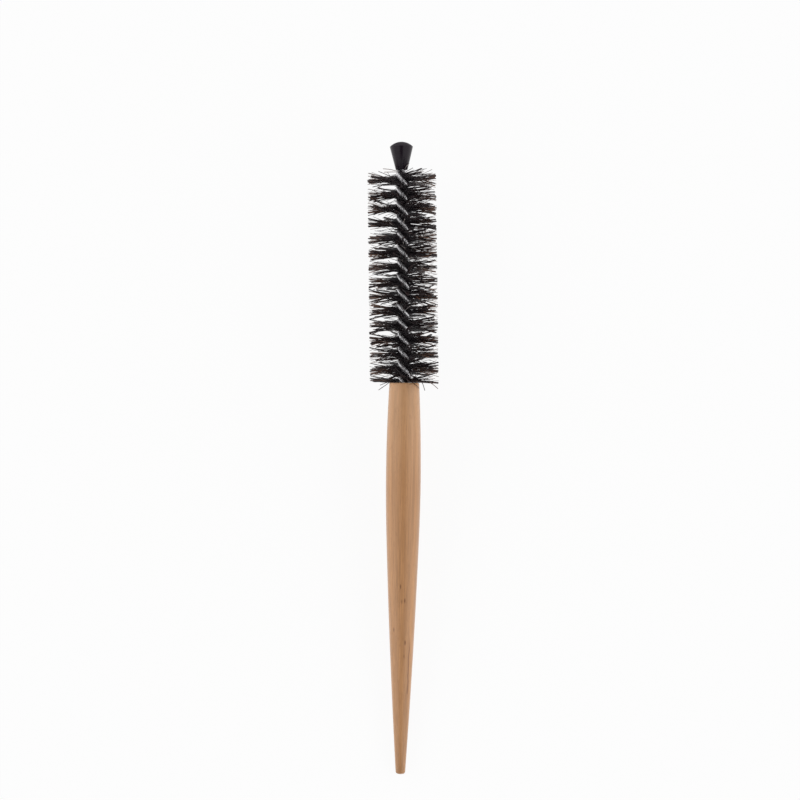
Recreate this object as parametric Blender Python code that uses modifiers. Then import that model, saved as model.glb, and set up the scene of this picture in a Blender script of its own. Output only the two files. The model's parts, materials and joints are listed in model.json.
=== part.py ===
"""Round barrel brush: turned wooden handle, twisted two-wire stem, spiral bristle rows and a tip cap.

The brush lies on a table at z = 0 as it is put down after use: on its lowest bristles and on the tail of
the handle. +X runs along the handle towards the tip cap. All sizes are in metres.
"""

import math

import bmesh
import bpy
from mathutils import Matrix, Vector

# Handle, measured from its mouth, where the stem goes in, to the end of its tail
HANDLE_LENGTH = 0.1513
MOUTH_RADIUS = 0.00567
MOUTH_EDGE = 0.0005
MOUTH_FLARE = 0.052
BELLY_RADIUS = 0.00664
BELLY_FROM_MOUTH = 0.037
TAPER_RADIUS = 0.00555
TAPER_FROM_BELLY = 0.04
TAPER_SLOPE = -0.039
TAIL_RADIUS = 0.00167
TAIL_SLOPE = -0.0625
TAIL_EDGE = 0.0009

# Stem: two wires twisted left-handed round each other, opened by the bristles that they pinch
WIRE_RADIUS = 0.00078
WIRE_GAP = 0.00025
PINCH_WIDTH = 0.00156
TWIST_LEAD = 0.01126
FIRST_CROSSING = 0.0052
STEM_DEPTH = 0.028
STEM_LEAN = math.radians(1.3)
SPREAD_LENGTH = 0.006

# Bristles
TRIM_RADIUS = 0.013
BRISTLE_START = 0.0008
BRISTLE_LENGTH = 0.082
BARE_NECK = 0.002
STRAND_GAP = 0.00006
STRAND_ROOT_RADIUS = 0.00018
STRAND_TIP_RADIUS = 0.00014
STRAND_SIDES = 3
STRAND_ANCHOR = 0.0005
SPLAY = math.radians(9)
SPLAY_STEP = math.radians(137.5)
END_FAN = math.radians(13)
FAN_ZONE = 0.005
MAT_HALF_WIDTH = 0.0013
REST_FLAT = 0.0005

# Tip cap
CAP_HEIGHT = 0.01105
CAP_RADIUS = 0.0044
CAP_DOME = 0.0023
CAP_FOOT_WALL = 0.00037
CAP_EDGE = 0.0003
CAP_ROOF = 0.0035

# Drilled hole for the stem, and the adhesive in it and in the cap
BORE_PLAY = 0.0005
DRILL_POINT = 0.0012
PLUG_HEIGHT = 0.001

# Fits and facets
CLEARANCE = 0.00025
ROUND_STEPS = 36
SOCKET_STEPS = 24
PROFILE_STEPS = 6
ARC_STEPS = 5
WIRE_POINTS_PER_TURN = 10

HEAD_LENGTH = BRISTLE_LENGTH + CLEARANCE + CAP_HEIGHT
BARE_HELIX = WIRE_RADIUS + WIRE_GAP / 2
PINCH_HELIX = WIRE_RADIUS + PINCH_WIDTH / 2
BARE_STEM_RADIUS = BARE_HELIX + WIRE_RADIUS
MAT_THICKNESS = PINCH_WIDTH - 2 * CLEARANCE
STRAND_PITCH = 2 * STRAND_ROOT_RADIUS + STRAND_GAP
CAP_FOOT = BRISTLE_LENGTH + CLEARANCE
SOCKET_RADIUS = BARE_STEM_RADIUS + CLEARANCE
SOCKET_END = CAP_FOOT + CAP_HEIGHT - CAP_ROOF
STEM_TOP = SOCKET_END - PLUG_HEIGHT - 2 * CLEARANCE
BORE_RADIUS = PINCH_HELIX + WIRE_RADIUS + BORE_PLAY
BORE_DEPTH = STEM_DEPTH + PLUG_HEIGHT + 2 * CLEARANCE

BEECH = ("beech", (0.47, 0.27, 0.14), 0.55, 0.0)
STEEL = ("galvanised_steel", (0.36, 0.36, 0.37), 0.4, 1.0)
BRISTLE = ("bristle", (0.018, 0.014, 0.013), 0.5, 0.0)
BLACK_PLASTIC = ("black_plastic", (0.018, 0.017, 0.019), 0.4, 0.0)
ADHESIVE = ("adhesive", (0.6, 0.5, 0.3), 0.5, 0.0)


def clear_scene():
    for obj in list(bpy.data.objects):
        bpy.data.objects.remove(obj)


def new_collection(name):
    collection = bpy.data.collections.new(name)
    bpy.context.scene.collection.children.link(collection)
    return collection


def material(look):
    name, colour, roughness, metallic = look
    made = bpy.data.materials.get(name)
    if made is None:
        made = bpy.data.materials.new(name)
        made.use_nodes = True
        shader = made.node_tree.nodes["Principled BSDF"]
        shader.inputs["Base Color"].default_value = (*colour, 1)
        shader.inputs["Roughness"].default_value = roughness
        shader.inputs["Metallic"].default_value = metallic
    return made


def add_object(name, data, look, parent, collection):
    obj = bpy.data.objects.new(name, data)
    collection.objects.link(obj)
    obj.parent = parent
    data.materials.append(material(look))
    return obj


def add_helper(name, data, parent, collection):
    """A cutter or a shape to be joined: drawn as wire, and never a part by itself."""
    obj = bpy.data.objects.new(name, data)
    collection.objects.link(obj)
    obj.parent = parent
    obj.hide_render = True
    obj.display_type = "WIRE"
    return obj


def boolean(obj, operation, other):
    modifier = obj.modifiers.new(operation.lower(), "BOOLEAN")
    modifier.operation = operation
    modifier.object = other


def arc(centre, radius, start, end):
    """Points (radius, height) on a round stretch of a profile, angles from the outward direction."""
    angles = [start + (end - start) * step / ARC_STEPS for step in range(ARC_STEPS + 1)]
    return [(centre[0] + radius * math.cos(a), centre[1] + radius * math.sin(a)) for a in angles]


def turned_mesh(name, profile):
    """A profile of (radius, height) points, top to bottom along its outer side, as a line of edges."""
    mesh = bpy.data.meshes.new(name)
    points = [(radius, 0, height) for radius, height in profile]
    mesh.from_pydata(points, [(i, i + 1) for i in range(len(points) - 1)], [])
    return mesh


def turn(obj, steps):
    """Revolves an object's profile round its Z axis."""
    screw = obj.modifiers.new("turn", "SCREW")
    screw.steps = screw.render_steps = steps
    screw.use_merge_vertices = True
    screw.merge_threshold = 1e-6
    screw.use_smooth_shade = True


def hermite(start, end, share):
    """Point on the smooth curve between two (depth, radius, slope) stations of the handle."""
    depth = end[0] - start[0]
    square, cube = share**2, share**3
    radius = (
        (2 * cube - 3 * square + 1) * start[1]
        + (cube - 2 * square + share) * depth * start[2]
        + (3 * square - 2 * cube) * end[1]
        + (cube - square) * depth * end[2]
    )
    return radius, -(start[0] + share * depth)


def rest_height():
    """Distance from the mouth to the first strands that point straight down."""
    half_turn = TWIST_LEAD / 2
    return BRISTLE_START + (FIRST_CROSSING + half_turn / 2 - BRISTLE_START) % half_turn


def rest_tilt():
    """Angle between the handle's axis and the table, tail lower, from what touches the table."""
    rim = Vector((HANDLE_LENGTH + rest_height(), TRIM_RADIUS - REST_FLAT))
    tail_edge_centre = Vector((TAIL_EDGE, TAIL_RADIUS - TAIL_EDGE))
    span = rim - tail_edge_centre
    return math.atan2(span.y, span.x) - math.asin(TAIL_EDGE / span.length)


def make_axes(collection):
    """Empties at the mouth: local Z of the first is the handle's axis, and of the second the stem's."""
    tilt = rest_tilt()
    handle_axis = bpy.data.objects.new("handle_axis", None)
    handle_axis.location = (
        (HANDLE_LENGTH - HEAD_LENGTH) / 2 * math.cos(tilt),
        -BRISTLE_LENGTH / 2 * math.sin(STEM_LEAN),
        (TRIM_RADIUS - REST_FLAT) * math.cos(tilt) - rest_height() * math.sin(tilt),
    )
    handle_axis.rotation_euler = (0, math.pi / 2 - tilt, 0)
    stem_axis = bpy.data.objects.new("stem_axis", None)
    stem_axis.parent = handle_axis
    stem_axis.rotation_euler = (-STEM_LEAN, 0, 0)
    for empty in (handle_axis, stem_axis):
        collection.objects.link(empty)
    bpy.context.view_layer.update()
    return handle_axis, stem_axis


def handle_profile():
    """Mouth, belly, taper and tail, with the tail's edge rounded over to a small flat end."""
    mouth = (MOUTH_EDGE, MOUTH_RADIUS, MOUTH_FLARE)
    belly = (BELLY_FROM_MOUTH, BELLY_RADIUS, 0)
    taper = (BELLY_FROM_MOUTH + TAPER_FROM_BELLY, TAPER_RADIUS, TAPER_SLOPE)
    tail = (HANDLE_LENGTH - TAIL_EDGE, TAIL_RADIUS, TAIL_SLOPE)
    profile = [(0, 0), *arc((MOUTH_RADIUS - MOUTH_EDGE, -MOUTH_EDGE), MOUTH_EDGE, math.pi / 2, 0)]
    for start, end in ((mouth, belly), (belly, taper), (taper, tail)):
        profile += [hermite(start, end, step / PROFILE_STEPS) for step in range(1, PROFILE_STEPS + 1)]
    tail_edge_centre = (TAIL_RADIUS - TAIL_EDGE, TAIL_EDGE - HANDLE_LENGTH)
    profile += arc(tail_edge_centre, TAIL_EDGE, 0, -math.pi / 2)[1:]
    return [*profile, (0, -HANDLE_LENGTH)]


def make_handle(handle_axis, stem_axis, parts, helpers):
    """Turned handle with a hole drilled for the stem, at the stem's lean."""
    handle = add_object("handle", turned_mesh("handle", handle_profile()), BEECH, handle_axis, parts)
    turn(handle, ROUND_STEPS)
    drill_profile = [
        (0, BORE_DEPTH),
        (BORE_RADIUS, BORE_DEPTH),
        (BORE_RADIUS, -BORE_DEPTH),
        (0, -BORE_DEPTH - DRILL_POINT),
    ]
    drill = add_helper("stem_drill", turned_mesh("stem_drill", drill_profile), stem_axis, helpers)
    turn(drill, SOCKET_STEPS)
    boolean(handle, "DIFFERENCE", drill)


def twist_angle(height):
    """Direction of the first wire from the stem's axis: up, along local -X, at the first crossing."""
    return math.pi - math.tau * (height - FIRST_CROSSING) / TWIST_LEAD


def smooth_share(value):
    share = min(max(value, 0), 1)
    return share * share * (3 - 2 * share)


def helix_radius(height):
    """The wires lie close together in the handle and the cap, and open where bristles are pinched."""
    in_handle = smooth_share((height + SPREAD_LENGTH) / SPREAD_LENGTH)
    below_cap = smooth_share((CAP_FOOT - height) / BARE_NECK)
    return BARE_HELIX + (PINCH_HELIX - BARE_HELIX) * min(in_handle, below_cap)


def wire_points(start_angle):
    length = STEM_DEPTH + STEM_TOP
    count = math.ceil(length / TWIST_LEAD * WIRE_POINTS_PER_TURN)
    points = []
    for step in range(count + 1):
        height = -STEM_DEPTH + length * step / count
        angle = twist_angle(height) + start_angle
        radius = helix_radius(height)
        points.append(Vector((radius * math.cos(angle), radius * math.sin(angle), height)))
    return points


def make_wire(name, points, stem_axis, parts):
    curve = bpy.data.curves.new(name, "CURVE")
    curve.dimensions = "3D"
    spline = curve.splines.new("POLY")
    spline.points.add(len(points) - 1)
    for point, place in zip(spline.points, points):
        point.co = (*place, 1)
    spline.use_smooth = True
    curve.bevel_depth = WIRE_RADIUS
    curve.bevel_resolution = 1
    curve.use_fill_caps = True
    return add_object(name, curve, STEEL, stem_axis, parts)


def least_gap(points):
    """Least gap between two turns of one wire, measured on its points."""
    turn_points = WIRE_POINTS_PER_TURN // 2
    apart = [
        (points[i] - points[j]).length
        for i in range(len(points))
        for j in range(i + turn_points, len(points))
    ]
    return min(apart) - 2 * WIRE_RADIUS


def make_stem(stem_axis, parts):
    for name, start_angle in (("stem_wire_a", 0), ("stem_wire_b", math.pi)):
        points = wire_points(start_angle)
        make_wire(name, points, stem_axis, parts)
        print(f"{name}: least gap to itself {least_gap(points) * 1000:.2f} mm")


def strand_tilt(height, index, mat_end):
    """Lean of a strand along the stem: a scatter within its row, and a fan at both ends of the head."""
    fan_up = smooth_share((height - mat_end + FAN_ZONE) / FAN_ZONE)
    fan_down = smooth_share((BRISTLE_START + FAN_ZONE - height) / FAN_ZONE)
    tilt = SPLAY * math.sin(index * SPLAY_STEP) + END_FAN * (fan_up - fan_down)
    mouth_gap = CLEARANCE + STRAND_ROOT_RADIUS + MOUTH_RADIUS * math.sin(STEM_LEAN)
    reach = MOUTH_RADIUS - MAT_HALF_WIDTH
    return max(tilt, math.atan2(mouth_gap - height, reach))


def strand_matrix(height, side, tilt, to_world):
    """Placement and length of one strand, trimmed to the barrel, or to the table where it rests on that."""
    angle = twist_angle(height) + side * math.pi / 2
    outward = Vector((math.cos(angle), math.sin(angle), 0))
    root_radius = MAT_HALF_WIDTH - STRAND_ANCHOR
    root = outward * root_radius + Vector((0, 0, height))
    direction = outward * math.cos(tilt) + Vector((0, 0, math.sin(tilt)))
    length = (TRIM_RADIUS - root_radius) / math.cos(tilt)
    fall = -(to_world.to_3x3() @ direction).z
    if fall > 0:
        length = min(length, (to_world @ root).z / fall)
    middle = root + direction * length / 2
    turned = direction.to_track_quat("Z", "Y").to_matrix().to_4x4()
    return Matrix.Translation(middle) @ turned, length


def row_strands(name, heights, first_index, mat_end, to_world):
    """All the strands of one row, which leave both edges of the pinched mat."""
    shape = bmesh.new()
    for step, height in enumerate(heights):
        for side in (-1, 1):
            index = 2 * (first_index + step) + (side > 0)
            tilt = strand_tilt(height, index, mat_end)
            matrix, length = strand_matrix(height, side, tilt, to_world)
            bmesh.ops.create_cone(
                shape,
                cap_ends=True,
                segments=STRAND_SIDES,
                radius1=STRAND_ROOT_RADIUS,
                radius2=STRAND_TIP_RADIUS,
                depth=length,
                matrix=matrix,
            )
    mesh = bpy.data.meshes.new(name)
    shape.to_mesh(mesh)
    shape.free()
    return mesh


def row_mat(name, bottom, top, segments):
    """The pinched middles of one row's bristles: a strip between the wires that turns with them."""
    shape = bmesh.new()
    bmesh.ops.create_cube(shape, size=1)
    upright = [e for e in shape.edges if abs(e.verts[0].co.z - e.verts[1].co.z) > 0.5]
    bmesh.ops.subdivide_edges(shape, edges=upright, cuts=segments - 1, use_grid_fill=True)
    for vertex in shape.verts:
        height = bottom + (vertex.co.z + 0.5) * (top - bottom)
        flat = Vector((vertex.co.x * MAT_THICKNESS, vertex.co.y * 2 * MAT_HALF_WIDTH, height))
        vertex.co = Matrix.Rotation(twist_angle(height), 3, "Z") @ flat
    mesh = bpy.data.meshes.new(name)
    shape.to_mesh(mesh)
    shape.free()
    return mesh


def make_bristles(stem_axis, parts, helpers):
    """Rows of about half a turn each, from the mouth of the handle up to the bare neck under the cap."""
    mat_end = BRISTLE_LENGTH - BARE_NECK
    rows = max(1, round((mat_end - BRISTLE_START) / (TWIST_LEAD / 2)))
    row_height = (mat_end - BRISTLE_START) / rows
    stations = max(1, round(row_height / STRAND_PITCH))
    to_world = stem_axis.matrix_world.copy()
    for row in range(rows):
        name = f"bristle_row_{row + 1:02d}"
        bottom = BRISTLE_START + row * row_height
        heights = [bottom + (step + 0.5) * row_height / stations for step in range(stations)]
        strands = row_strands(f"{name}_strands", heights, row * stations, mat_end, to_world)
        mat = row_mat(name, bottom + CLEARANCE / 2, bottom + row_height - CLEARANCE / 2, stations // 2)
        obj = add_object(name, mat, BRISTLE, stem_axis, parts)
        boolean(obj, "UNION", add_helper(strands.name, strands, stem_axis, helpers))
    print(f"bristles: {rows} rows, {2 * rows * stations} strands")


def make_tip_cap(stem_axis, parts):
    """Domed cone with a blind socket for the stem."""
    dome_radius = (CAP_RADIUS**2 + CAP_DOME**2) / (2 * CAP_DOME)
    shoulder = CAP_FOOT + CAP_HEIGHT - CAP_DOME
    dome_centre = (0, CAP_FOOT + CAP_HEIGHT - dome_radius)
    dome_edge = math.asin((shoulder + CAP_EDGE - dome_centre[1]) / dome_radius)
    profile = [
        *arc(dome_centre, dome_radius, math.pi / 2, dome_edge),
        (CAP_RADIUS, shoulder),
        (SOCKET_RADIUS + CAP_FOOT_WALL, CAP_FOOT),
        (SOCKET_RADIUS, CAP_FOOT),
        (SOCKET_RADIUS, SOCKET_END),
        (0, SOCKET_END),
    ]
    cap = add_object("tip_cap", turned_mesh("tip_cap", profile), BLACK_PLASTIC, stem_axis, parts)
    turn(cap, ROUND_STEPS)


def make_adhesive(stem_axis, parts):
    """A cup of hardened adhesive round the end of the stem in the handle, and a plug of it in the cap."""
    outside = BORE_RADIUS - CLEARANCE
    floor = -STEM_DEPTH - CLEARANCE
    cup = [
        (0, floor),
        (SOCKET_RADIUS, floor),
        (SOCKET_RADIUS, -SPREAD_LENGTH),
        (outside, -SPREAD_LENGTH),
        (outside, floor - PLUG_HEIGHT),
        (0, floor - PLUG_HEIGHT),
    ]
    plug_top = SOCKET_END - CLEARANCE
    plug = [
        (0, plug_top),
        (BARE_STEM_RADIUS, plug_top),
        (BARE_STEM_RADIUS, plug_top - PLUG_HEIGHT),
        (0, plug_top - PLUG_HEIGHT),
    ]
    for name, profile in (("handle_adhesive", cup), ("cap_adhesive", plug)):
        turn(add_object(name, turned_mesh(name, profile), ADHESIVE, stem_axis, parts), SOCKET_STEPS)


def main():
    clear_scene()
    parts = new_collection("round_barrel_brush")
    helpers = new_collection("cutters")
    handle_axis, stem_axis = make_axes(parts)
    make_handle(handle_axis, stem_axis, parts, helpers)
    make_stem(stem_axis, parts)
    make_bristles(stem_axis, parts, helpers)
    make_tip_cap(stem_axis, parts)
    make_adhesive(stem_axis, parts)


main()
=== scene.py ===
"""Looks of the round barrel brush: waxed beech, drawn wire, black plastic and boar bristle.

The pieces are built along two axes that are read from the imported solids, the handle's and the
stem's, and only the hidden adhesives stay as packed. Both axes start at the centre of the handle's
mouth, with local Z towards the tip cap and local -X up from the table. Sizes are in metres, apart
from the points of the loose bristles.
"""

import json
import math
import random
from collections import namedtuple

import bpy
from mathutils import Matrix, Vector


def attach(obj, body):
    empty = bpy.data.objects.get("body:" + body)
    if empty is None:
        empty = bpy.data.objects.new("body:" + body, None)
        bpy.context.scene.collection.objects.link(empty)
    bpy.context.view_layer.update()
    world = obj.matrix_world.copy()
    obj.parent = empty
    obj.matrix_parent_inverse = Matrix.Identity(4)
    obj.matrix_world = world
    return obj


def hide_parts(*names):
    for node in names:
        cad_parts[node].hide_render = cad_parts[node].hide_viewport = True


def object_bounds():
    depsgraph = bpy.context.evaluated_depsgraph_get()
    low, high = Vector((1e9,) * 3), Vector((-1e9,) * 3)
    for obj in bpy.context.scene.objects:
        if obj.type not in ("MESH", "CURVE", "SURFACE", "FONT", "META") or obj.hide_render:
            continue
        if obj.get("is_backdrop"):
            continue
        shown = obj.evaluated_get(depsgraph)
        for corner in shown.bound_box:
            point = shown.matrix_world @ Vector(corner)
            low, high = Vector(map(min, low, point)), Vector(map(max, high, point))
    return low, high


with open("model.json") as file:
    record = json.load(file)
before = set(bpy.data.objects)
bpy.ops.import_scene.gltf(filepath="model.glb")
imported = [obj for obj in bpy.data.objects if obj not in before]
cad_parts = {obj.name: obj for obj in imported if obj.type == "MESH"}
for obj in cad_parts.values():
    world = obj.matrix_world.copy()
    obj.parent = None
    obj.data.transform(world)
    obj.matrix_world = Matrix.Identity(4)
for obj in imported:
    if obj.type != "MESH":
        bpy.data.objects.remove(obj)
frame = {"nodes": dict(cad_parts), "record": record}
cad_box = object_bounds()

SEED = 26
MILLIMETRE = 0.001

# Turned handle, with its stations given by their depth below the mouth
Station = namedtuple("Station", "depth radius slope")
HANDLE_LENGTH = 0.1513
MOUTH = Station(0.00035, 0.00578, 0.052)
BELLY = Station(0.037, 0.00674, 0)
TAPER = Station(0.077, 0.00568, -0.039)
TAIL = Station(0.1504, 0.00187, -0.0625)
MOUTH_ROUND = 0.0010
TAIL_EDGE = 0.0009
BORE_RADIUS = 0.00284
BORE_DEPTH = 0.0295

# Twisted stem
WIRE_RADIUS = 0.00078
BARE_HELIX = 0.000905
PINCH_HELIX = 0.00156
TWIST_LEAD = 0.01126
FIRST_CROSSING = 0.0052
SPREAD_LENGTH = 0.006
STEM_DEPTH = 0.028
STEM_TOP = 0.0883

# Tip cap, with the points of its shoulder as shares of the edge: inside the radius and up
CAP_HEIGHT = 0.01091
CAP_RADIUS = 0.00449
CAP_DOME = 0.00193
CAP_EDGE = 0.00012
CAP_SHOULDER = ((0.25, 0.4), (0.1, 0.0))
CAP_FOOT_RADIUS = 0.002305
CAP_FOOT_EDGE = 0.0001
SOCKET_RADIUS = 0.001935
SOCKET_DEPTH = 0.00755

# Where the bristles are pinched, trimmed and held off the mouth
TRIM_RADIUS = 0.0134
TRIM_SCATTER = 0.00012
BRISTLE_START = 0.00018
BRISTLE_END = 0.0806
TOP_RISE = 0.0011
BARE_NECK = 0.002
PINCH_REACH = 0.0011
PINCH_HALF_DEPTH = 0.00066
MAT_HALF_WIDTH = 0.0012
MAT_HALF_DEPTH = 0.00074
MOUTH_CLEARANCE = 0.00018
MOUTH_SAG = 0.0005
MOUTH_LIFT = 0.0004
LIFT_STEEPNESS = 3

# How many bristles there are, and how they lie in locks
BRISTLE_COUNT = 1960
BRISTLE_RADIUS = (0.000115, 0.000175)
TIP_THINNING = 0.05
SKIRT_COUNT = 32
SKIRT_HEIGHT = 0.0007
SKIRT_TURN = 0.45
SHORT_SHARE = 0.03
SHORT_REACH = (0.6, 0.96)
LOCK_SIZE = (3, 8)
LOCK_SPREAD = 0.0015
LOCK_TURN = 0.14
GATHER = 0.88
STRAND_SPREAD = 0.00014
STRAND_TURN = 0.03
COMB = 0.16
COMB_POWER = 3
STIFFNESS = 0.5
BOW_PLACE = 0.4

# Bristles that stay out of the locks
FREE_SHARE = 0.40
FREE_RADIUS = (0.00006, 0.0001)
FREE_SPREAD = 0.0018
FREE_TURN = 0.22
FREE_BOW = 0.0005

# Tones of the bristles, from 0 for black to 1 for blond. The pale tone on some upright free bristles is a
# painted highlight: pale grey strands that stand in for glints over the dark mass.
BLACK_TONES = (0.0, 0.7)
BROWN_TONES = (0.86, 0.93)
FREE_TONES = (0.75, 1.0)
PAINTED_GLINT_TONE = 1.0
BROWN_LOCKS = 0.11
PAINTED_GLINT_SHARE = 0.08

# A bristle counts as level below this cosine of its angle to upright
LEVEL_COSINE = 0.6

# Loose bristles, as tone and points in millimetres: right of the stem, in front of it and up from the mouth
NECK_STRAYS = (
    (0.96, ((-0.6, 0.3, 81.3), (-1.8, 0.3, 81.8), (-4.5, 0.3, 82.5), (-7.2, 0.3, 82.8))),
    (0.96, ((-0.6, 0.2, 81.1), (-2.2, 0.2, 81.5), (-6.8, 0.2, 81.5))),
    (0.30, ((0.8, 0.4, 80.6), (1.7, 0.4, 81.5), (4.4, 0.4, 83.0))),
    (1.00, ((0.9, 1.8, 81.5), (1.5, 2.35, 82.9), (2.2, 2.0, 83.9), (2.9, 0.9, 84.6))),
    (0.92, ((1.2, 0.4, 80.0), (3.0, 0.5, 80.7), (6.7, 0.6, 81.4), (8.3, 0.6, 81.8))),
    (0.20, ((1.2, 0.2, 79.6), (4.0, 0.4, 80.1), (11.1, 0.6, 80.7))),
    (0.40, ((-1.2, 0.4, 78.6), (-3.4, 0.5, 79.4), (-6.4, 0.6, 80.7), (-9.0, 0.6, 81.8))),
    (0.60, ((-1.2, 0.2, 78.0), (-4.4, 0.3, 79.0), (-12.8, 0.4, 81.2))),
)
MOUTH_STRAYS = (
    (0.80, ((-1.5, 0.5, 0.6), (-5.2, 0.6, 0.3), (-7.5, 0.6, -1.1), (-10.0, 0.6, -2.75))),
    (0.85, ((-1.5, 0.2, 0.7), (-6.0, 0.3, 0.3), (-9.4, 0.4, -0.9))),
    (0.93, ((0.6, 1.4, 0.7), (2.6, 4.7, 0.3), (4.5, 4.2, -1.1), (5.7, 2.6, -2.3))),
    (0.40, ((1.4, 0.3, 0.6), (5.5, 0.5, 0.5), (7.0, 0.5, -0.4), (7.9, 0.6, -3.2))),
    (0.94, ((1.4, -0.2, 0.7), (6.0, -0.2, 0.5), (10.0, -0.2, -0.2), (13.0, -0.2, -2.5))),
    (0.30, ((1.4, 0.5, 0.21), (5.0, 0.6, 0.26), (9.5, 0.6, 0.1), (13.3, 0.6, -0.3))),
    (0.10, ((1.4, 1.2, 0.3), (5.0, 1.8, 0.3), (9.5, 2.2, 0.2), (13.1, 2.4, -0.1))),
    (0.30, ((-1.4, 0.5, 0.3), (-5.5, 0.6, 0.35), (-12.3, 0.6, 0.6))),
    (0.10, ((-1.4, 1.0, 0.4), (-5.5, 1.8, 0.4), (-11.9, 2.4, 0.4))),
    (0.20, ((0.8, 1.4, 0.4), (3.5, 4.2, 0.17), (6.2, 5.6, 0.1), (9.4, 6.4, -0.1))),
    (0.50, ((0.6, 1.6, 0.4), (2.2, 4.8, 0.16), (4.2, 6.6, 0.0), (6.0, 7.8, -0.1))),
    (0.20, ((-0.8, 1.4, 0.4), (-3.5, 4.2, 0.1), (-6.2, 5.6, 0.1), (-9.4, 6.4, 0.3))),
    (0.50, ((-0.6, 1.6, 0.4), (-2.2, 4.8, 0.1), (-4.2, 6.6, 0.0), (-5.8, 7.8, 0.1))),
)
STRAY_RADIUS = 0.00013

# Colours of the beech, and where along the handle it changes: depths from none of a factor to all of it.
# The first two factors are painted light, making the wood paler near the mouth where the bristles cast
# their shade; the last makes the wood darker towards the tail.
BEECH_LIGHT = (0.549, 0.278, 0.121, 1)
BEECH_DARK = (0.410, 0.200, 0.081, 1)
BEECH_MARK = (0.125, 0.036, 0.006, 1)
BEECH_SHEEN = (1.0, 0.88, 0.74, 1)
BEECH_MOUTH_PAINTED_LIGHT_AND_DARKER_TAIL = (
    (0.040, 0.002, (1.165, 1.275, 1.46, 1)),
    (0.008, 0.0015, (1.10, 1.10, 1.10, 1)),
    (0.110, 0.150, (0.91, 0.905, 0.90, 1)),
)
BEECH_ROUGHNESS = (0.38, 0.5)

# Grain of the beech, as cells of noise to the metre, and what the noise does
BROAD_BANDS = (420, 420, 9)
NARROW_BANDS = (1700, 1700, 38)
FIBRES = (5200, 5200, 110)
RAYS = (2400, 2400, 420)
NOISE_RANGE = (0.3, 0.7)
BAND_LEVELS = (0.38, 0.62)
BAND_MIDDLE = 0.5
CALM_DEPTHS = (0.030, 0.004)
CALM_SHARE = 0.6
FIBRE_SHADES = (0.93, 1.07)
RAY_LEVELS = (0.58, 0.7)
RAY_STRENGTH = 0.13
MARK_SINK = 0.5

# Flecks on the side that faces up, as place right of the axis, depth below the mouth and strength
FLECKS = (
    (-0.0007, 0.0785, 0.75),
    (0.0010, 0.0839, 0.75),
    (-0.0001, 0.0843, 0.45),
    (-0.0031, 0.0953, 0.55),
    (0.0013, 0.1002, 0.75),
    (0.0009, 0.1054, 0.4),
)
FLECK_HALF_WIDTH = 0.00034
FLECK_HALF_LENGTH = 0.0010
FLECK_EDGE = (0.4, 1.2)
FLECK_RAGGED = 0.3
SIDE_BLEND = 0.0002

# Flecks by chance on the side that lies down
SPECKS = (1500, 1500, 330)
SPECK_LEVELS = (0.66, 0.73)
SPECK_STRENGTH = 0.6

# One long streak, turned to the right of straight up, with the depths where it fades
STREAK_TURN = math.radians(40)
STREAK_TOP = (0.0975, 0.103)
STREAK_BOTTOM = (0.1205, 0.1195)
STREAK_EDGE = (0.00012, 0.00036)
STREAK_STRENGTH = 0.66
STREAK_WAVES = (90, 90, 160)
STREAK_WANDER = 0.0002

# Galvanised steel
STEEL_DARK = (0.34, 0.33, 0.35, 1)
STEEL_LIGHT = (0.98, 0.97, 0.99, 1)
STEEL_PATCHES = (1500, 1500, 1100)
PATCH_LEVELS = (0.38, 0.55)
STEEL_SCRATCHES = (9000, 9000, 2500)
STEEL_ROUGHNESS = (0.16, 0.3)

# Black plastic, satin on the cone and matt on the dome
PLASTIC_DARK = (0.0102, 0.0060, 0.0104, 1)
PLASTIC_LIGHT = (0.0142, 0.0088, 0.0146, 1)
PLASTIC_GRAIN = (5200, 5200, 5200)
PLASTIC_WEAR = (420, 420, 420)
WEAR_LEVELS = (0.35, 0.7)
SATIN_ROUGHNESS = (0.18, 0.26)
MATT_ROUGHNESS = 0.7

# Boar bristle, with the colour of its root and the colours by tone that follow it. The pale grey at tone 1
# is blond bristle, and on upright free bristles it is a painted highlight.
BRISTLE_ROOT = (0.0162, 0.0112, 0.0147, 1)
BRISTLE_COLOURS = (
    (0.0, (0.0115, 0.0075, 0.0102, 1)),
    (0.6, (0.0265, 0.0137, 0.0140, 1)),
    (0.8, (0.060, 0.029, 0.020, 1)),
    (0.94, (0.150, 0.075, 0.045, 1)),
    (0.97, (0.250, 0.122, 0.068, 1)),
    (1.0, (0.38, 0.33, 0.31, 1)),
)
ROOT_FADE = (0.35, 0.8)
BRISTLE_SCALES = (6000, 6000, 6000)
BRISTLE_ROUGHNESS = (0.34, 0.5)

# Adhesive
ADHESIVE_DARK = (0.42, 0.30, 0.14, 1)
ADHESIVE_LIGHT = (0.62, 0.50, 0.30, 1)
ADHESIVE_CLOUDS = (900, 900, 900)
ADHESIVE_ROUGHNESS = (0.25, 0.5)

# The photograph's frame, in its pixels, and the camera
PHOTO_SIZE = 800
PHOTO_MOUTH = (404.3, 382.6)
PIXEL = 0.0003869
PHOTO_LEAN = math.radians(0.576)
CAMERA_LENS = 100
CAMERA_SENSOR = 36

# Floor and softboxes
FLOOR_REACH = 2.4
FLOOR_COLOUR = (0.9, 0.9, 0.9, 1)
FLOOR_WHITENESS = 0.93
SOFTBOX_ASIDE = 2.075
SOFTBOX_HEIGHT = 0.9
SOFTBOX_SIZE = (7.5, 1.65)
SOFTBOX_POWER = 68.75

# Surround, with a darker strip overhead and unlike reflections of its two sides, by unit direction
WHITE = (1, 1, 1, 1)
SURROUND_STRENGTH = 0.45
STRIP_SIDES = (0.2, 0.34)
STRIP_HEIGHTS = (0.8, 0.7)
STRIP_SHADE = 0.1
MIRROR_SIDES = (-0.3, 0.3)
MIRROR_LEVELS = (0.60, 0.46)

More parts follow.
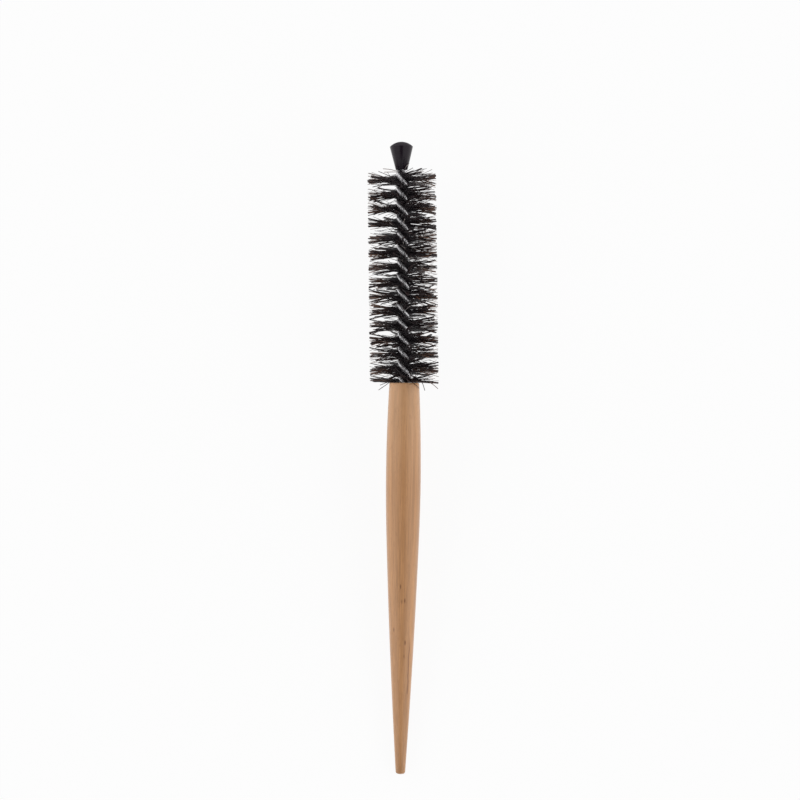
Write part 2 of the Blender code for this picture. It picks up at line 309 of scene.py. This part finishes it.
# Fineness of the meshes, and the corners of a square
LATHE_STEPS = 96
PROFILE_STEPS = 24
ARC_STEPS = 10
SHARP_ANGLE = math.radians(35)
WIRE_POINTS_PER_TURN = 32
WIRE_BEVEL = 5
BRISTLE_SIDES = 5
BRISTLE_STEPS = 5
STRAY_STEPS = 5
MAT_STEPS = 12
SQUARE = ((-1, -1), (1, -1), (1, 1), (-1, 1))


def node_points(name):
    return [vertex.co for vertex in frame["nodes"][name].data.vertices]


def middle(points):
    return sum(points, Vector()) / len(points)


def axes_matrix(x_axis, z_axis, origin):
    y_axis = z_axis.cross(x_axis)
    matrix = Matrix((x_axis, y_axis, z_axis)).transposed().to_4x4()
    matrix.translation = origin
    return matrix


def find_axes():
    """The handle's axis from its tail mount, and the stem's from the mouth to the middle of the tip cap."""
    mount = next(m for m in frame["record"]["mounts"] if m["name"] == "tail_end")
    along = -Vector(mount["axis"]).normalized()
    down = Vector((0, 1, 0)).cross(along).normalized()
    mouth = Vector(mount["pos_m"]) + along * HANDLE_LENGTH
    stem = (middle(node_points("tip_cap")) - mouth).normalized()
    stem_down = (down - stem * down.dot(stem)).normalized()
    return axes_matrix(down, along, mouth), axes_matrix(stem_down, stem, mouth)


HANDLE_AXIS, STEM_AXIS = find_axes()
CAP_FOOT = min((STEM_AXIS.inverted() @ point).z for point in node_points("tip_cap"))
MOUTH_FACE = STEM_AXIS.inverted().to_3x3() @ HANDLE_AXIS.to_3x3().col[2]


def add_node(tree, kind, inputs=None, **settings):
    """A shader node with its settings, and its inputs given as values or as other nodes' outputs."""
    made = tree.nodes.new(kind)
    for name, value in settings.items():
        setattr(made, name, value)
    for socket, value in (inputs or {}).items():
        if isinstance(value, bpy.types.NodeSocket):
            tree.links.new(value, made.inputs[socket])
        else:
            made.inputs[socket].default_value = value
    return made


def new_material(name):
    made = bpy.data.materials.new(name)
    made.use_nodes = True
    return made, made.node_tree, made.node_tree.nodes["Principled BSDF"]


def object_coords(tree, scale=(1, 1, 1)):
    coords = add_node(tree, "ShaderNodeTexCoord").outputs["Object"]
    return add_node(tree, "ShaderNodeMapping", {"Vector": coords, "Scale": scale}).outputs["Vector"]


def split_vector(tree, vector):
    return add_node(tree, "ShaderNodeSeparateXYZ", {0: vector}).outputs


def noise(tree, cells, detail=3.0, roughness=0.5):
    """Noise with so many cells to the metre along the piece's three axes."""
    inputs = {"Vector": object_coords(tree, cells), "Scale": 1.0, "Detail": detail, "Roughness": roughness}
    return add_node(tree, "ShaderNodeTexNoise", inputs).outputs[0]


def remap(tree, value, low, high, to_low=0.0, to_high=1.0):
    limits = {"From Min": low, "From Max": high, "To Min": to_low, "To Max": to_high}
    return add_node(tree, "ShaderNodeMapRange", {"Value": value, **limits}).outputs[0]


def math_node(tree, operation, first, second=0.0):
    return add_node(tree, "ShaderNodeMath", {0: first, 1: second}, operation=operation).outputs[0]


def mix_colours(tree, share, first, second, blend="MIX"):
    inputs = {0: share, 6: first, 7: second}
    return add_node(tree, "ShaderNodeMix", inputs, data_type="RGBA", blend_type=blend).outputs[2]


def mix_shaders(tree, share, first, second):
    return add_node(tree, "ShaderNodeMixShader", {0: share, 1: first, 2: second}).outputs[0]


def bump(tree, height, strength, distance):
    inputs = {"Height": height, "Strength": strength, "Distance": distance}
    return add_node(tree, "ShaderNodeBump", inputs).outputs["Normal"]


def grey(tree, value):
    return add_node(tree, "ShaderNodeCombineColor", {0: value, 1: value, 2: value}).outputs[0]


def beech_grain(tree, depth, fibre):
    """Colour of the wood: soft bands, which are calmer near the mouth, fine fibres and rays. Then painted
    light makes the wood paler near the mouth, against the bristles' shade, and a factor makes it darker
    towards the tail.
    """
    broad = noise(tree, BROAD_BANDS, roughness=0.55)
    narrow = noise(tree, NARROW_BANDS, roughness=0.6)
    bands = math_node(tree, "MULTIPLY", math_node(tree, "ADD", broad, narrow), 0.5)
    calm = remap(tree, depth, *CALM_DEPTHS, 0.0, CALM_SHARE)
    uneven = math_node(tree, "SUBTRACT", BAND_MIDDLE, bands)
    bands = math_node(tree, "ADD", bands, math_node(tree, "MULTIPLY", calm, uneven))
    wood = mix_colours(tree, remap(tree, bands, *BAND_LEVELS), BEECH_LIGHT, BEECH_DARK)
    shade = grey(tree, remap(tree, fibre, *NOISE_RANGE, *FIBRE_SHADES))
    wood = mix_colours(tree, 1.0, wood, shade, "MULTIPLY")
    rays = remap(tree, noise(tree, RAYS, detail=1), *RAY_LEVELS, 0.0, RAY_STRENGTH)
    wood = mix_colours(tree, rays, wood, BEECH_MARK)
    # Painted light: the wood gets paler towards the mouth, lifting the shade the bristles cast there. The
    # last factor makes the wood darker towards the tail.
    for start, end, along_factor in BEECH_MOUTH_PAINTED_LIGHT_AND_DARKER_TAIL:
        wood = mix_colours(tree, remap(tree, depth, start, end), wood, along_factor, "MULTIPLY")
    return wood


def fleck_marks(tree, x, upper, fibre):
    """Strength of the short flecks: in their places where the handle faces up, and by chance below."""
    lower = remap(tree, x, 0.0, SIDE_BLEND)
    specks = remap(tree, noise(tree, SPECKS, detail=1), *SPECK_LEVELS, 0.0, SPECK_STRENGTH)
    marks = math_node(tree, "MULTIPLY", specks, lower)
    ragged = remap(tree, fibre, *NOISE_RANGE, -FLECK_RAGGED, FLECK_RAGGED)
    coords = object_coords(tree, (0, 1 / FLECK_HALF_WIDTH, 1 / FLECK_HALF_LENGTH))
    for right, depth, strength in FLECKS:
        place = (0, -right / FLECK_HALF_WIDTH, -depth / FLECK_HALF_LENGTH)
        apart = add_node(tree, "ShaderNodeVectorMath", {0: coords, 1: place}, operation="DISTANCE")
        apart = math_node(tree, "ADD", apart.outputs["Value"], ragged)
        shown = math_node(tree, "MULTIPLY", remap(tree, apart, *FLECK_EDGE, strength, 0.0), upper)
        marks = math_node(tree, "MAXIMUM", marks, shown)
    return marks


def streak_mark(tree, x, y, depth, upper):
    """Strength of the long streak, which wanders a little off a plane through the handle's axis."""
    across = math_node(tree, "MULTIPLY", x, math.sin(STREAK_TURN))
    aside = math_node(tree, "SUBTRACT", across, math_node(tree, "MULTIPLY", y, math.cos(STREAK_TURN)))
    waves = noise(tree, STREAK_WAVES, detail=2)
    aside = math_node(tree, "ADD", aside, remap(tree, waves, *NOISE_RANGE, -STREAK_WANDER, STREAK_WANDER))
    near = remap(tree, math_node(tree, "ABSOLUTE", aside), *STREAK_EDGE, STREAK_STRENGTH, 0.0)
    span = math_node(tree, "MULTIPLY", remap(tree, depth, *STREAK_TOP), remap(tree, depth, *STREAK_BOTTOM))
    return math_node(tree, "MULTIPLY", math_node(tree, "MULTIPLY", near, upper), span)


def beech_material():
    """Straight-grained waxed beech with short dark flecks and one long streak."""
    made, tree, shader = new_material("beech")
    x, y, z = split_vector(tree, object_coords(tree))
    depth = math_node(tree, "MULTIPLY", z, -1.0)
    upper = remap(tree, x, -SIDE_BLEND, 0.0, 1.0, 0.0)
    fibre = noise(tree, FIBRES, roughness=0.6)
    streak = streak_mark(tree, x, y, depth, upper)
    marks = math_node(tree, "MAXIMUM", fleck_marks(tree, x, upper, fibre), streak)
    wood = mix_colours(tree, marks, beech_grain(tree, depth, fibre), BEECH_MARK)
    tree.links.new(wood, shader.inputs["Base Color"])
    tree.links.new(remap(tree, fibre, *NOISE_RANGE, *BEECH_ROUGHNESS), shader.inputs["Roughness"])
    shader.inputs["Specular IOR Level"].default_value = 0.5
    shader.inputs["Coat Weight"].default_value = 0.5
    shader.inputs["Coat Roughness"].default_value = 0.3
    shader.inputs["Sheen Weight"].default_value = 0.4
    shader.inputs["Sheen Roughness"].default_value = 0.45
    shader.inputs["Sheen Tint"].default_value = BEECH_SHEEN
    pores = math_node(tree, "SUBTRACT", fibre, math_node(tree, "MULTIPLY", marks, MARK_SINK))
    tree.links.new(bump(tree, pores, strength=0.2, distance=0.00006), shader.inputs["Normal"])
    return made


def steel_material():
    """Drawn wire with a dull zinc coat, streaked along its length."""
    made, tree, shader = new_material("galvanised_steel")
    patches = remap(tree, noise(tree, STEEL_PATCHES, detail=4, roughness=0.6), *PATCH_LEVELS)
    scratches = noise(tree, STEEL_SCRATCHES)
    tree.links.new(mix_colours(tree, patches, STEEL_DARK, STEEL_LIGHT), shader.inputs["Base Color"])
    tree.links.new(remap(tree, scratches, *NOISE_RANGE, *STEEL_ROUGHNESS), shader.inputs["Roughness"])
    shader.inputs["Metallic"].default_value = 0.6
    tree.links.new(bump(tree, scratches, strength=0.2, distance=0.00004), shader.inputs["Normal"])
    return made


def plastic_material():
    """Moulded black plastic with a faint grain."""
    made, tree, shader = new_material("black_plastic")
    wear = noise(tree, PLASTIC_WEAR, detail=5, roughness=0.6)
    colour = mix_colours(tree, remap(tree, wear, *WEAR_LEVELS), PLASTIC_DARK, PLASTIC_LIGHT)
    tree.links.new(colour, shader.inputs["Base Color"])
    satin = remap(tree, wear, *NOISE_RANGE, *SATIN_ROUGHNESS)
    along = split_vector(tree, object_coords(tree))["Z"]
    shoulder = CAP_FOOT + CAP_HEIGHT - CAP_DOME
    matt = remap(tree, along, shoulder, shoulder + CAP_EDGE, 0.0, MATT_ROUGHNESS)
    tree.links.new(math_node(tree, "MAXIMUM", satin, matt), shader.inputs["Roughness"])
    shader.inputs["Specular IOR Level"].default_value = 0.35
    grain = noise(tree, PLASTIC_GRAIN)
    tree.links.new(bump(tree, grain, strength=0.12, distance=0.00003), shader.inputs["Normal"])
    return made


def bristle_material():
    """Boar bristle: black at the root, and mostly so to the tip, with some brown and blond, and pale grey
    on some upright strands as a painted highlight.
    """
    made, tree, shader = new_material("bristle")
    tone = add_node(tree, "ShaderNodeAttribute", attribute_name="tone").outputs["Fac"]
    along = add_node(tree, "ShaderNodeAttribute", attribute_name="along").outputs["Fac"]
    ramp = add_node(tree, "ShaderNodeValToRGB", {0: tone})
    elements = ramp.color_ramp.elements
    for index, (place, colour) in enumerate(BRISTLE_COLOURS):
        element = elements[index] if index < len(elements) else elements.new(place)
        element.position = place
        element.color = colour
    colour = mix_colours(tree, remap(tree, along, *ROOT_FADE), BRISTLE_ROOT, ramp.outputs[0])
    tree.links.new(colour, shader.inputs["Base Color"])
    scales = noise(tree, BRISTLE_SCALES, detail=2)
    tree.links.new(remap(tree, scales, *NOISE_RANGE, *BRISTLE_ROUGHNESS), shader.inputs["Roughness"])
    shader.inputs["Specular IOR Level"].default_value = 0.4
    return made


def adhesive_material():
    """Hardened amber epoxy."""
    made, tree, shader = new_material("adhesive")
    clouds = noise(tree, ADHESIVE_CLOUDS, detail=4)
    tree.links.new(mix_colours(tree, clouds, ADHESIVE_DARK, ADHESIVE_LIGHT), shader.inputs["Base Color"])
    tree.links.new(remap(tree, clouds, *NOISE_RANGE, *ADHESIVE_ROUGHNESS), shader.inputs["Roughness"])
    return made


def add_object(name, data):
    made = bpy.data.objects.new(name, data)
    bpy.context.scene.collection.objects.link(made)
    return made


def add_piece(name, data, matrix, look, slot, *nodes):
    """A piece of the object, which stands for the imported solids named."""
    piece = add_object(name, data)
    piece.matrix_world = matrix
    data.materials.append(look)
    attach(piece, "root")
    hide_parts(*nodes)


def arc(centre, radius, start, end):
    angles = [start + (end - start) * step / ARC_STEPS for step in range(ARC_STEPS + 1)]
    return [(centre[0] + radius * math.cos(a), centre[1] + radius * math.sin(a)) for a in angles]


def hermite(share, start, leave, end, arrive):
    """Value at a share of the way along a cubic, from its ends and its slopes there."""
    square, cube = share**2, share**3
    return (
        start * (2 * cube - 3 * square + 1)
        + leave * (cube - 2 * square + share)
        + end * (3 * square - 2 * cube)
        + arrive * (cube - square)
    )


def lathe(name, profile):
    """Closed mesh turned from (radius, height) points, which start and end on the axis."""
    rings = profile[1:-1]
    points = [(0, 0, profile[0][1])]
    for radius, height in rings:
        for step in range(LATHE_STEPS):
            angle = math.tau * step / LATHE_STEPS
            points.append((radius * math.cos(angle), radius * math.sin(angle), height))
    points.append((0, 0, profile[-1][1]))
    last = len(points) - 1
    bottom = 1 + (len(rings) - 1) * LATHE_STEPS
    faces = []
    for step in range(LATHE_STEPS):
        after = (step + 1) % LATHE_STEPS
        faces.append((0, 1 + step, 1 + after))
        for ring in range(len(rings) - 1):
            upper, lower = 1 + ring * LATHE_STEPS, 1 + (ring + 1) * LATHE_STEPS
            faces.append((upper + step, lower + step, lower + after, upper + after))
        faces.append((last, bottom + after, bottom + step))
    mesh = bpy.data.meshes.new(name)
    mesh.from_pydata(points, [], faces)
    mesh.shade_smooth()
    mesh.set_sharp_from_angle(angle=SHARP_ANGLE)
    return mesh


def handle_stretch(start, end):
    """Profile points from one station, which is left out, to the next."""
    drop = end.depth - start.depth
    points = []
    for step in range(1, PROFILE_STEPS + 1):
        share = step / PROFILE_STEPS
        radius = hermite(share, start.radius, drop * start.slope, end.radius, drop * end.slope)
        points.append((radius, -(start.depth + share * drop)))
    return points


def make_handle():
    """Turned handle, from the bottom of its drilled hole over the mouth and down to the tail."""
    profile = [(0, -BORE_DEPTH), (BORE_RADIUS, -BORE_DEPTH), (BORE_RADIUS, 0)]
    for radius, height in arc((0, 0), 1, math.pi / 2, 0):
        profile.append((MOUTH.radius - MOUTH_ROUND * (1 - radius), MOUTH.depth * (height - 1)))
    for start, end in ((MOUTH, BELLY), (BELLY, TAPER), (TAPER, TAIL)):
        profile += handle_stretch(start, end)
    tail_centre = (TAIL.radius - TAIL_EDGE, TAIL_EDGE - HANDLE_LENGTH)
    profile += arc(tail_centre, TAIL_EDGE, 0, -math.pi / 2)[1:]
    profile.append((0, -HANDLE_LENGTH))
    mesh = lathe("turned_handle", profile)
    add_piece("turned_handle", mesh, HANDLE_AXIS, beech_material(), "beech", "handle")


def make_cap():
    """Domed cone with rounded edges and a socket for the stem."""
    dome_radius = (CAP_RADIUS**2 + CAP_DOME**2) / (2 * CAP_DOME)
    top = CAP_FOOT + CAP_HEIGHT
    shoulder = top - CAP_DOME
    socket_end = CAP_FOOT + SOCKET_DEPTH
    dome_centre = (0, top - dome_radius)
    dome_end = math.asin((shoulder + CAP_EDGE - dome_centre[1]) / dome_radius)
    slope = (CAP_RADIUS - CAP_FOOT_RADIUS) / (shoulder - CAP_FOOT)
    profile = [(0, top), *arc(dome_centre, dome_radius, math.pi / 2, dome_end)[1:]]
    profile += [(CAP_RADIUS - CAP_EDGE * inside, shoulder + CAP_EDGE * up) for inside, up in CAP_SHOULDER]
    profile.append((CAP_RADIUS - slope * CAP_EDGE, shoulder - CAP_EDGE))
    profile += [(CAP_FOOT_RADIUS, CAP_FOOT + CAP_FOOT_EDGE), (CAP_FOOT_RADIUS - CAP_FOOT_EDGE, CAP_FOOT)]
    profile += [(SOCKET_RADIUS, CAP_FOOT), (SOCKET_RADIUS, socket_end), (0, socket_end)]
    mesh = lathe("domed_cap", profile)
    add_piece("domed_cap", mesh, STEM_AXIS, plastic_material(), "black_plastic", "tip_cap")


def twist_angle(height):
    """Direction of the first wire from the stem's axis: up, along local -X, at the first crossing."""
    return math.pi - math.tau * (height - FIRST_CROSSING) / TWIST_LEAD


def smooth_share(value):
    share = min(max(value, 0), 1)
    return share * share * (3 - 2 * share)


def helix_radius(height):
    in_handle = smooth_share((height + SPREAD_LENGTH) / SPREAD_LENGTH)
    below_cap = smooth_share((CAP_FOOT - height) / BARE_NECK)
    return BARE_HELIX + (PINCH_HELIX - BARE_HELIX) * min(in_handle, below_cap)


def make_wires():
    """Two wires twisted round each other, closer together in the handle and in the cap."""
    look = steel_material()
    length = STEM_DEPTH + STEM_TOP
    count = math.ceil(length / TWIST_LEAD * WIRE_POINTS_PER_TURN)
    for letter, start in (("a", 0), ("b", math.pi)):
        name = f"drawn_wire_{letter}"
        curve = bpy.data.curves.new(name, "CURVE")
        curve.dimensions = "3D"
        curve.bevel_depth = WIRE_RADIUS
        curve.bevel_resolution = WIRE_BEVEL
        curve.use_fill_caps = True
        spline = curve.splines.new("POLY")
        spline.points.add(count)
        spline.use_smooth = True
        for step, point in enumerate(spline.points):
            height = -STEM_DEPTH + length * step / count
            angle = twist_angle(height) + start
            radius = helix_radius(height)
            point.co = (radius * math.cos(angle), radius * math.sin(angle), height, 1)
        add_piece(name, curve, STEM_AXIS, look, "galvanised_steel", f"stem_wire_{letter}")


def radial(angle):
    return Vector((math.cos(angle), math.sin(angle), 0))


def combed(angle):
    """Direction in which a bristle lies: use has turned those that face up towards local -Y."""
    return angle + COMB * max(0.0, -math.cos(angle)) ** COMB_POWER


class Lock:
    """Bristles on one side of the pinch that cling together towards their tips."""

    def __init__(self, rng, height, side):
        self.height = height + rng.gauss(0, LOCK_SPREAD)
        self.angle = combed(twist_angle(height) + side * math.pi / 2) + rng.gauss(0, LOCK_TURN)


def above_mouth(point, sag=0.0):
    """The point, raised where it is too low over the mouth, which the leaning stem isn't square to."""
    lean = point.y / TRIM_RADIUS
    least = MOUTH_CLEARANCE - (MOUTH_FACE.x * point.x + MOUTH_FACE.y * point.y) / MOUTH_FACE.z
    least += MOUTH_LIFT * min(1.0, LIFT_STEEPNESS * lean) if lean > 0 else sag * lean
    return Vector((point.x, point.y, max(point.z, least)))


def above_table(start, tip):
    """The tip, drawn back along its bristle to where that meets the table."""
    high, low = (STEM_AXIS @ start).z, (STEM_AXIS @ tip).z
    return tip if low >= 0 else start.lerp(tip, high / (high - low))


def half_bristle(rng, height, side, offset, lock):
    """Points of one end of a bristle, from the pinch to its tip, in its lock or free where that is None."""
    angle = twist_angle(height) + side * math.pi / 2
    outward = radial(angle)
    if lock:
        tip_angle = combed(angle) + (lock.angle - combed(angle)) * GATHER + rng.gauss(0, STRAND_TURN)
        rise = (lock.height - height) * GATHER + rng.gauss(0, STRAND_SPREAD)
        bow_rise = 0
    else:
        tip_angle = combed(angle) + rng.gauss(0, FREE_TURN)
        rise = rng.gauss(0, FREE_SPREAD)
        bow_rise = rng.gauss(0, FREE_BOW)
    if height < BRISTLE_START + SKIRT_HEIGHT:
        tip_angle += rng.gauss(0, SKIRT_TURN)
    reach = TRIM_RADIUS - abs(rng.gauss(0, TRIM_SCATTER))
    if rng.random() < SHORT_SHARE:
        reach *= rng.uniform(*SHORT_REACH)
    start = outward * PINCH_REACH + radial(angle + math.pi / 2) * offset * side + Vector((0, 0, height))
    tip = radial(tip_angle) * reach + Vector((0, 0, min(height + rise, BRISTLE_END + TOP_RISE)))
    tip = above_table(start, above_mouth(tip, rng.uniform(0, MOUTH_SAG)))
    straight = (tip - start) * BOW_PLACE
    leave = (outward * straight.length).lerp(straight, STIFFNESS)
    bow = above_mouth(start + leave + Vector((0, 0, bow_rise)))
    points = []
    for step in range(BRISTLE_STEPS + 1):
        share = step / BRISTLE_STEPS
        points.append(start.lerp(bow, share).lerp(bow.lerp(tip, share), share))
    return points


def smooth_path(points):
    """Points on a smooth curve through the points given."""
    path = [points[0]]
    for index in range(len(points) - 1):
        start, end = points[index], points[index + 1]
        leave = (end - points[max(index - 1, 0)]) / 2
        arrive = (points[min(index + 2, len(points) - 1)] - start) / 2
        for step in range(1, STRAY_STEPS + 1):
            path.append(hermite(step / STRAY_STEPS, start, leave, end, arrive))
    return path


def add_point(mesh, point, along, tone):
    mesh["points"].append(point)
    mesh["along"].append(along)
    mesh["tone"].append(tone)


def join_rings(mesh, first, rings, sides):
    """Faces between rings of points that start at the first one's index, with both ends closed."""
    for ring in range(rings - 1):
        low, high = first + ring * sides, first + (ring + 1) * sides
        for corner in range(sides):
            after = (corner + 1) % sides
            mesh["faces"].append((low + corner, low + after, high + after, high + corner))
    last = first + (rings - 1) * sides
    mesh["faces"].append(tuple(first + corner for corner in reversed(range(sides))))
    mesh["faces"].append(tuple(last + corner for corner in range(sides)))


def add_tube(points, along, radius, tone, mesh):
    """One closed bristle round a path, added to the lists of a mesh."""
    first = len(mesh["points"])
    for index, point in enumerate(points):
        before, after = points[max(index - 1, 0)], points[min(index + 1, len(points) - 1)]
        tangent = (after - before).normalized()
        side = tangent.cross(Vector((0, 0, 1))).normalized()
        up = side.cross(tangent)
        thickness = radius * (1 - TIP_THINNING * along[index] ** 2)
        for corner in range(BRISTLE_SIDES):
            angle = math.tau * corner / BRISTLE_SIDES
            outward = side * math.cos(angle) + up * math.sin(angle)
            add_point(mesh, point + outward * thickness, along[index], tone)
    join_rings(mesh, first, len(points), BRISTLE_SIDES)


def add_strays(strays, mesh):
    for tone, places in strays:
        path = smooth_path([Vector((-front, -right, up)) * MILLIMETRE for right, front, up in places])
        along = [math.sqrt(step / len(path)) for step in range(len(path))]
        add_tube(path, along, STRAY_RADIUS, tone, mesh)


def add_mat(bottom, top, mesh):
    """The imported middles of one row's bristles: a strip between the wires that turns with them."""
    first = len(mesh["points"])
    for step in range(MAT_STEPS + 1):
        height = bottom + (top - bottom) * step / MAT_STEPS
        across = radial(twist_angle(height))
        outward = radial(twist_angle(height) + math.pi / 2)
        depth = min(MAT_HALF_DEPTH, helix_radius(height) - WIRE_RADIUS)
        for x, y in SQUARE:
            point = across * x * depth + outward * y * MAT_HALF_WIDTH + Vector((0, 0, height))
            add_point(mesh, point, along=0.0, tone=0.0)
    join_rings(mesh, first, MAT_STEPS + 1, len(SQUARE))


def bristle_heights(rng, row, rows):
    """Places along the stem of one row's bristles, with more of them over the mouth of the handle."""
    count = BRISTLE_COUNT // rows
    pitch = (BRISTLE_END - BRISTLE_START) / (count * rows)
    heights = [BRISTLE_START + (row * count + step + rng.random()) * pitch for step in range(count)]
    if row == 0:
        heights += [BRISTLE_START + rng.random() * SKIRT_HEIGHT for _ in range(SKIRT_COUNT)]
    return sorted(heights)


def split_locks(rng, heights):
    """The heights in groups of a few neighbours."""
    first = 0
    while first < len(heights):
        size = rng.randint(*LOCK_SIZE)
        yield heights[first : first + size]
        first += size


def add_lock(rng, heights, mesh):
    """A few neighbouring bristles, whose ends meet in a lock on each side, with some that stay free."""
    half = [step / BRISTLE_STEPS for step in range(BRISTLE_STEPS + 1)]
    locks = {side: Lock(rng, sum(heights) / len(heights), side) for side in (-1, 1)}
    level = abs(math.sin(twist_angle(heights[0]))) < LEVEL_COSINE
    tones = BROWN_TONES if level and rng.random() < BROWN_LOCKS else BLACK_TONES
    for height in heights:
        offset = rng.uniform(-PINCH_HALF_DEPTH, PINCH_HALF_DEPTH)
        free = rng.random() < FREE_SHARE
        ends = [half_bristle(rng, height, side, offset, None if free else locks[side]) for side in (-1, 1)]
        radius = rng.uniform(*(FREE_RADIUS if free else BRISTLE_RADIUS))
        # Some upright free bristles take the pale tone, a painted highlight that stands in for glints on
        # strands over the dark mass.
        if free and not level:
            tone = PAINTED_GLINT_TONE if rng.random() < PAINTED_GLINT_SHARE else rng.uniform(*BLACK_TONES)
        else:
            tone = rng.uniform(*(FREE_TONES if free else tones))
        add_tube(ends[0][::-1] + ends[1], half[::-1] + half, radius, tone, mesh)


def make_bristles():
    """Bristles pinched at their middles, in one piece for each packed row."""
    rng = random.Random(SEED)
    look = bristle_material()
    rows = sorted(name for name in frame["nodes"] if name.startswith("bristle_row_"))
    row_height = (BRISTLE_END - BRISTLE_START) / len(rows)
    for row, node in enumerate(rows):
        mesh = {"points": [], "faces": [], "along": [], "tone": []}
        last = row == len(rows) - 1
        bottom = BRISTLE_START + row * row_height
        add_mat(bottom, CAP_FOOT - MOUTH_CLEARANCE if last else bottom + row_height, mesh)
        for heights in split_locks(rng, bristle_heights(rng, row, len(rows))):
            add_lock(rng, heights, mesh)
        if row == 0:
            add_strays(MOUTH_STRAYS, mesh)
        if last:
            add_strays(NECK_STRAYS, mesh)
        data = bpy.data.meshes.new(f"boar_{node}")
        data.from_pydata(mesh["points"], [], mesh["faces"])
        for name in ("along", "tone"):
            attribute = data.attributes.new(name, "FLOAT", "POINT")
            attribute.data.foreach_set("value", mesh[name])
        data.shade_smooth()
        add_piece(f"boar_{node}", data, STEM_AXIS, look, "bristle", node)


def dress_adhesive():
    """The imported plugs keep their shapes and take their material."""
    look = adhesive_material()
    for name in ("handle_adhesive", "cap_adhesive"):
        solid = frame["nodes"][name]
        solid.data.materials.clear()
        solid.data.materials.append(look)


def make_camera():
    """Square above the handle's axis, framed as the photograph is."""
    right_share, up_share = math.sin(PHOTO_LEAN), math.cos(PHOTO_LEAN)
    turned = HANDLE_AXIS.to_3x3()
    view, across, along = turned.col[0], -turned.col[1], turned.col[2]
    right = right_share * along + up_share * across
    up = up_share * along - right_share * across
    half = PHOTO_SIZE / 2
    offset = right * (PHOTO_MOUTH[0] - half) * PIXEL + up * (half - PHOTO_MOUTH[1]) * PIXEL
    distance = half * PIXEL * CAMERA_LENS / (CAMERA_SENSOR / 2)
    data = bpy.data.cameras.new("camera")
    data.lens = CAMERA_LENS
    data.sensor_width = CAMERA_SENSOR
    camera = add_object("camera", data)
    matrix = Matrix((right, up, -view)).transposed().to_4x4()
    matrix.translation = HANDLE_AXIS.translation - offset - view * distance
    camera.matrix_world = matrix
    bpy.context.scene.camera = camera


def seen_white(tree, mirrored=1.0):
    """How white the background is: wholly to the camera and through glass, and as given in reflections."""
    path = add_node(tree, "ShaderNodeLightPath").outputs
    shown = math_node(tree, "MAXIMUM", path["Is Camera Ray"], path["Is Transmission Ray"])
    return math_node(tree, "MAXIMUM", shown, math_node(tree, "MULTIPLY", path["Is Glossy Ray"], mirrored))


def make_floor():
    """Pale floor that is nearly white to the camera and keeps the object's shadow."""
    data = bpy.data.meshes.new("floor")
    corners = [(x * FLOOR_REACH, y * FLOOR_REACH, 0) for x, y in SQUARE]
    data.from_pydata(corners, [], [tuple(range(len(SQUARE)))])
    floor = add_object("floor", data)
    made, tree, shader = new_material("pale_floor")
    shader.inputs["Base Color"].default_value = FLOOR_COLOUR
    shader.inputs["Roughness"].default_value = 0.9
    glow = add_node(tree, "ShaderNodeEmission", {"Strength": 1.0}).outputs[0]
    share = math_node(tree, "MULTIPLY", seen_white(tree), FLOOR_WHITENESS)
    mixed = mix_shaders(tree, share, shader.outputs[0], glow)
    tree.links.new(mixed, tree.nodes["Material Output"].inputs["Surface"])
    data.materials.append(made)
    floor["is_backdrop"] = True


def make_softboxes():
    """Two long softboxes, one on each side of the brush."""
    for name, side in (("left_softbox", 1), ("right_softbox", -1)):
        data = bpy.data.lights.new(name, "AREA")
        data.shape = "RECTANGLE"
        data.size, data.size_y = SOFTBOX_SIZE
        data.energy = SOFTBOX_POWER
        lamp = add_object(name, data)
        lamp.visible_glossy = False
        lamp.location = (0, side * SOFTBOX_ASIDE, SOFTBOX_HEIGHT)
        lamp.rotation_euler = (-lamp.location).to_track_quat("-Z", "Y").to_euler()


def make_surround():
    """Even soft light from all round, apart from a darker strip overhead between the softboxes."""
    world = bpy.data.worlds.new("studio")
    bpy.context.scene.world = world
    world.use_nodes = True
    tree = world.node_tree
    surround = tree.nodes["Background"]
    surround.inputs["Strength"].default_value = SURROUND_STRENGTH
    white = add_node(tree, "ShaderNodeBackground", {"Color": WHITE, "Strength": 1.0}).outputs[0]
    direction = add_node(tree, "ShaderNodeTexCoord").outputs["Generated"]
    _, y, height = split_vector(tree, direction)
    beside = remap(tree, math_node(tree, "ABSOLUTE", y), *STRIP_SIDES)
    outside = math_node(tree, "MAXIMUM", beside, remap(tree, height, *STRIP_HEIGHTS))
    shade = grey(tree, remap(tree, outside, 0.0, 1.0, STRIP_SHADE, 1.0))
    tree.links.new(shade, surround.inputs["Color"])
    mirrored = math_node(tree, "MULTIPLY", outside, remap(tree, y, *MIRROR_SIDES, *MIRROR_LEVELS))
    mixed = mix_shaders(tree, seen_white(tree, mirrored), surround.outputs[0], white)
    tree.links.new(mixed, tree.nodes["World Output"].inputs["Surface"])


make_handle()
make_cap()
make_wires()
make_bristles()
dress_adhesive()
make_camera()
make_floor()
make_softboxes()
make_surround()
bpy.context.scene.view_settings.view_transform = "Standard"

boxes = {"cad": cad_box, "visual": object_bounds()}
{name: [list(corner) for corner in box] for name, box in boxes.items()}
